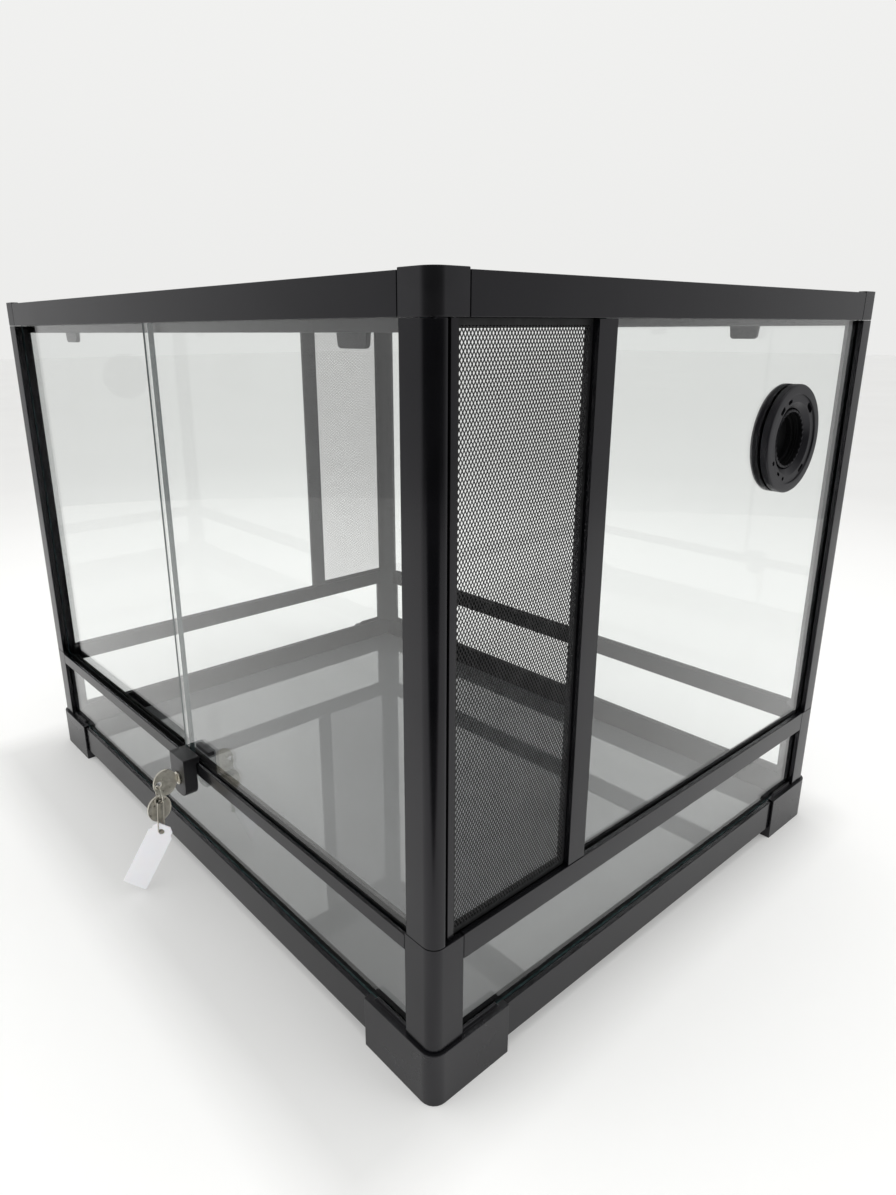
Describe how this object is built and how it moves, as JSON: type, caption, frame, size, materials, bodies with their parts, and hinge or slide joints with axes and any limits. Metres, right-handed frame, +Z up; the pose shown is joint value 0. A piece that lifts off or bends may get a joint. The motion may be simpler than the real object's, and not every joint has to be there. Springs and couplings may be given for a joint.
{
  "type": "small pet cage",
  "caption": "Glass small-pet cage with a black frame, sliding glass front doors, a key lock with keys, mesh side vents, a round side port, corner feet and a lift-off mesh lid.",
  "frame": {"origin": "centre of the bounding box's underside, on the surface the feet stand on", "axes": "+X to the right seen from the front, +Y towards the back wall, +Z up; the sliding doors face -Y"},
  "size_m": [0.604, 0.5164, 0.454],
  "materials": {
    "frame_black": "satin black extrusion",
    "plastic_black": "satin moulded black",
    "clear_glass": "clear polished, faint green edges",
    "floor_gloss": "gloss dark grey",
    "mesh_black": "black coated expanded mesh",
    "key_nickel": "nickel plated",
    "tag_white": "matte white"
  },
  "bodies": {
    "cage": {"base_rail_front": "frame_black", "foot_front_left": "plastic_black", "lower_post_front_left": "frame_black", "mid_rail_front": "frame_black", "lower_glass_front": "clear_glass", "upper_post_front_left": "frame_black", "top_rail_front": "frame_black", "top_cap_front_left": "plastic_black", "base_rail_right": "frame_black", "foot_front_right": "plastic_black", "lower_post_front_right": "frame_black", "mid_rail_right": "frame_black", "lower_glass_right": "clear_glass", "upper_post_front_right": "frame_black", "mullion_right": "frame_black", "side_mesh_right": "mesh_black", "side_glass_right": "clear_glass", "top_rail_right": "frame_black", "top_cap_front_right": "plastic_black", "base_rail_back": "frame_black", "foot_back_right": "plastic_black", "lower_post_back_right": "frame_black", "mid_rail_back": "frame_black", "lower_glass_back": "clear_glass", "upper_post_back_right": "frame_black", "back_glass": "clear_glass", "top_rail_back": "frame_black", "top_cap_back_right": "plastic_black", "base_rail_left": "frame_black", "foot_back_left": "plastic_black", "lower_post_back_left": "frame_black", "mid_rail_left": "frame_black", "lower_glass_left": "clear_glass", "upper_post_back_left": "frame_black", "mullion_left": "frame_black", "side_mesh_left": "mesh_black", "side_glass_left": "clear_glass", "top_rail_left": "frame_black", "top_cap_back_left": "plastic_black", "floor_panel": "floor_gloss", "port_outer_flange": "plastic_black", "port_inner_nut": "plastic_black"},
    "right_door": {"right_door": "clear_glass"},
    "left_door": {"left_door": "clear_glass"},
    "lid": {"lid_frame": "frame_black", "lid_mesh": "mesh_black", "lid_tab_front_left": "plastic_black", "lid_tab_front_right": "plastic_black", "lid_tab_back_right": "plastic_black", "lid_tab_back_left": "plastic_black"},
    "lock": {"lock_housing": "plastic_black", "lock_keeper": "plastic_black"},
    "plug": {"lock_plug": "key_nickel"},
    "key": {"key_in_lock": "key_nickel"},
    "keyring": {"split_ring": "key_nickel", "spare_key": "key_nickel", "tag": "tag_white", "tag_tie": "key_nickel"},
    "port_stopper": {"port_plug": "plastic_black"}
  },
  "joints": [
    {"name": "right_door_slide", "type": "slide", "parent": "cage", "child": "right_door", "axis": [1, 0, 0], "range_m": [-0.278, 0]},
    {"name": "left_door_slide", "type": "slide", "parent": "cage", "child": "left_door", "axis": [1, 0, 0], "range_m": [0, 0.278]},
    {"name": "lid_lift", "type": "slide", "parent": "cage", "child": "lid", "axis": [0, 0, 1], "range_m": [0, 0.15]},
    {"name": "lock_lift", "type": "slide", "parent": "cage", "child": "lock", "axis": [0, 0, 1], "range_m": [0, 0.03]},
    {"name": "plug_turn", "type": "hinge", "parent": "lock", "child": "plug", "pos_m": [0.013, -0.2118, 0.0935], "axis": [0, 1, 0], "range_deg": [0, 90]},
    {"name": "key_pull", "type": "slide", "parent": "plug", "child": "key", "axis": [0, -1, 0], "range_m": [0, 0.024]},
    {"name": "keyring_swing", "type": "hinge", "parent": "key", "child": "keyring", "pos_m": [0.013, -0.2284, 0.0919], "axis": [0, 1, 0], "range_deg": [-15, 15]},
    {"name": "port_stopper_pull", "type": "slide", "parent": "cage", "child": "port_stopper", "axis": [1, 0, 0], "range_m": [0, 0.04]}
  ]
}
